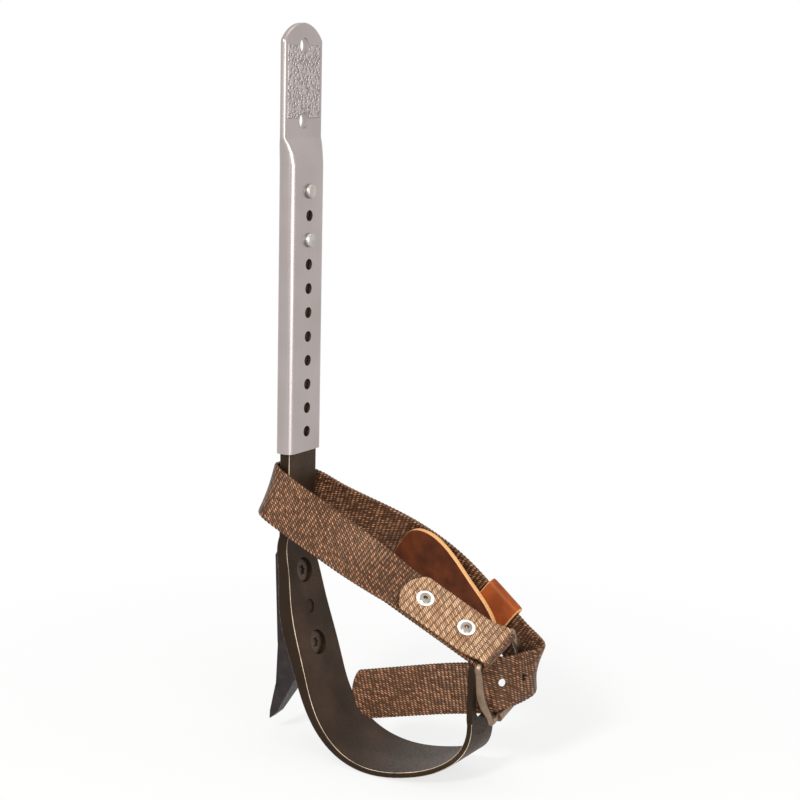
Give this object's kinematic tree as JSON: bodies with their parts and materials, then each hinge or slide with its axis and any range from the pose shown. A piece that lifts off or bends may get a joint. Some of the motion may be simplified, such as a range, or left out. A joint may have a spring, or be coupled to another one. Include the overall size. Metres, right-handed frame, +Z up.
{
  "type": "pole climber",
  "caption": "Climbing iron for wooden poles: forged leg iron with stirrup and screwed-on gaff, sliding height sleeve, and a webbing ankle strap with roller buckle.",
  "frame": {"origin": "on the stirrup's tread at its lowest point, under the middle of the boot", "axes": "+X from the leg iron across the boot to the stirrup's end eye, Y along the boot, +Z up the leg"},
  "size_m": [0.1564, 0.0636, 0.3844],
  "materials": {
    "black_steel": "black oxide, worn edges",
    "gaff_steel": "dark ground steel",
    "plated_steel": "satin plated",
    "bright_steel": "bright nickel",
    "buckle_steel": "dull plated",
    "webbing": "coarse woven nylon",
    "leather": "oiled, raw cut edges"
  },
  "bodies": {
    "leg_iron": {"leg_iron": "black_steel", "gaff": "gaff_steel", "gaff_screw_upper": "black_steel", "gaff_screw_lower": "black_steel", "gaff_dowel_pin": "black_steel", "sleeve_screw_upper": "bright_steel", "sleeve_screw_lower": "bright_steel", "ankle_strap": "webbing", "strap_rivet_upper": "bright_steel", "strap_rivet_lower": "bright_steel", "rivet_washer_upper": "bright_steel", "rivet_washer_lower": "bright_steel", "rivet_cap_upper": "bright_steel", "rivet_cap_lower": "bright_steel"},
    "sleeve": {"sleeve": "plated_steel"},
    "buckle": {"buckle_frame": "buckle_steel"},
    "roller": {"buckle_roller": "buckle_steel"},
    "prong": {"buckle_prong": "buckle_steel"},
    "keeper": {"leather_keeper": "leather", "leather_guard": "leather", "keeper_rivet": "bright_steel"}
  },
  "joints": [
    {"name": "sleeve_height", "type": "slide", "parent": "leg_iron", "child": "sleeve", "axis": [0, 0, 1], "range_m": [0, 0.0762]},
    {"name": "buckle_swing", "type": "hinge", "parent": "leg_iron", "child": "buckle", "pos_m": [0.0645, -0.0045, 0.072], "axis": [0.12, 0.8996, 0.4198], "range_deg": [0, 4]},
    {"name": "roller_spin", "type": "hinge", "parent": "buckle", "child": "roller", "pos_m": [0.0645, 0.01132, 0.03811], "axis": [0.12, 0.8996, 0.4198], "continuous": true},
    {"name": "prong_swing", "type": "hinge", "parent": "buckle", "child": "prong", "pos_m": [0.0645, -0.0045, 0.072], "axis": [0.12, 0.8996, 0.4198], "range_deg": [0, 6]},
    {"name": "keeper_slide", "type": "slide", "parent": "leg_iron", "child": "keeper", "axis": [0.7832, -0.0124, -0.6216], "range_m": [-0.003, 0.006]}
  ]
}
